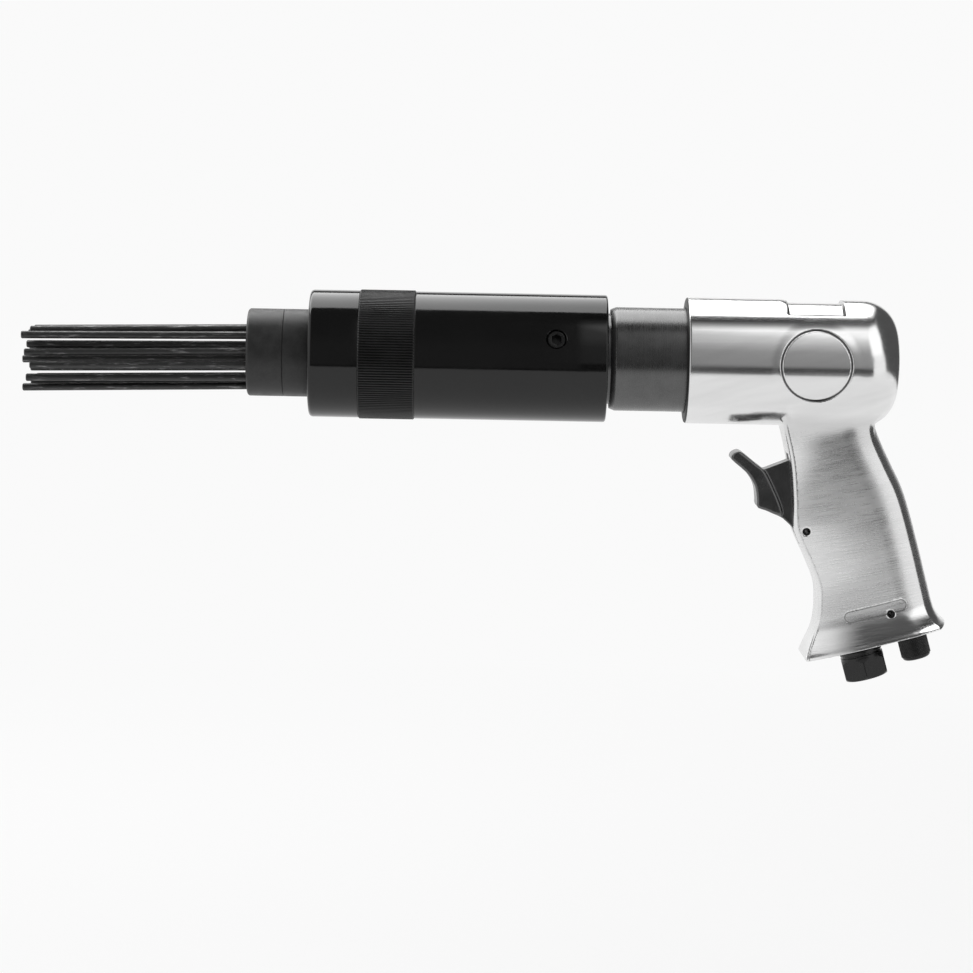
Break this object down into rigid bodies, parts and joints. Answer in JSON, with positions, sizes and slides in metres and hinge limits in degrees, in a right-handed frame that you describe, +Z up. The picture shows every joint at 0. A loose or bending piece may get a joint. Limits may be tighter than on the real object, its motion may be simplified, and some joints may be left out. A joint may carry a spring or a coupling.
{
  "type": "needle scaler",
  "caption": "Pistol-grip air needle scaler: a bundle of spring-returned steel needles driven by a piston, with a trigger throttle, threaded air inlet and turning air regulator.",
  "frame": {"origin": "on the tool axis, at the front face of the front cap, where the nose tube's shoulder seats", "axes": "+X along the tool axis towards the rear of the head, needles point to -X; +Z up, grip hangs to -Z; +Y completes the frame"},
  "size_m": [0.3703, 0.0514, 0.1538],
  "materials": {
    "polished_aluminium": "polished and brushed casting",
    "gloss_black": "gloss black",
    "barrel_steel": "satin dark",
    "phosphated_steel": "matte dark grey",
    "needle_steel": "dark drawn wire",
    "black_oxide": "black oxide",
    "trigger_black": "satin black",
    "bare_steel": "ground",
    "bronze": "turned",
    "seal_rubber": "matte"
  },
  "bodies": {
    "tool_body": {"handle": "polished_aluminium", "air_cylinder": "barrel_steel", "cylinder_o_ring": "seal_rubber", "anvil_bush": "bronze", "valve_seat": "bare_steel", "valve_case": "bare_steel", "valve_dowels": "bare_steel", "needle_housing": "gloss_black", "housing_set_screw": "black_oxide", "front_cap": "gloss_black", "nose_tube": "phosphated_steel", "return_spring": "bare_steel", "trigger_pin": "black_oxide", "throttle_bush": "bronze", "throttle_spring": "bare_steel", "inlet_bushing": "black_oxide", "inlet_washer": "bronze", "inlet_screen": "bare_steel", "regulator_pin": "black_oxide"},
    "trigger": {"trigger": "trigger_black"},
    "throttle_valve": {"throttle_stem": "bare_steel", "throttle_o_ring": "seal_rubber"},
    "air_regulator": {"air_regulator": "black_oxide", "regulator_o_ring": "seal_rubber"},
    "piston": {"piston": "bare_steel"},
    "needle_pack": {"needle_holder": "bare_steel", "needle_01": "needle_steel", "needle_02": "needle_steel", "needle_03": "needle_steel", "needle_04": "needle_steel", "needle_05": "needle_steel", "needle_06": "needle_steel", "needle_07": "needle_steel", "needle_08": "needle_steel", "needle_09": "needle_steel", "needle_10": "needle_steel", "needle_11": "needle_steel", "needle_12": "needle_steel", "needle_13": "needle_steel", "needle_14": "needle_steel", "needle_15": "needle_steel", "needle_16": "needle_steel", "needle_17": "needle_steel", "needle_18": "needle_steel", "needle_19": "needle_steel"},
    "anvil": {"anvil": "bare_steel"},
    "valve_plate": {"valve_plate": "bare_steel"}
  },
  "joints": [
    {"name": "trigger_swing", "type": "hinge", "parent": "tool_body", "child": "trigger", "pos_m": [0.19855, 0, -0.06648], "axis": [0, 1, 0], "range_deg": [0, 9], "stiffness_Nm_per_rad": 0.5, "springref_deg": -17.19},
    {"name": "throttle_slide", "type": "slide", "parent": "tool_body", "child": "throttle_valve", "axis": [0.9613, 0, 0.2756], "range_m": [0, 0.0033], "deforming": ["throttle_spring"]},
    {"name": "regulator_turn", "type": "hinge", "parent": "tool_body", "child": "air_regulator", "pos_m": [0.24238, 0, -0.10613], "axis": [-0.2756, 0, 0.9613], "continuous": true},
    {"name": "piston_slide", "type": "slide", "parent": "tool_body", "child": "piston", "axis": [-1, 0, 0], "range_m": [0, 0.04]},
    {"name": "needle_slide", "type": "slide", "parent": "tool_body", "child": "needle_pack", "axis": [-1, 0, 0], "range_m": [0, 0.008], "stiffness_N_per_m": 2000, "springref_m": -0.005, "deforming": ["return_spring"]},
    {"name": "anvil_slide", "type": "slide", "parent": "tool_body", "child": "anvil", "axis": [-1, 0, 0], "range_m": [0, 0.008]},
    {"name": "valve_flick", "type": "slide", "parent": "tool_body", "child": "valve_plate", "axis": [1, 0, 0], "range_m": [0, 0.0008]}
  ],
  "couplings": [
    {"joint": "throttle_slide", "follows": "trigger_swing", "m_per_rad": 0.0205},
    {"joint": "anvil_slide", "follows": "needle_slide", "ratio": 1}
  ]
}
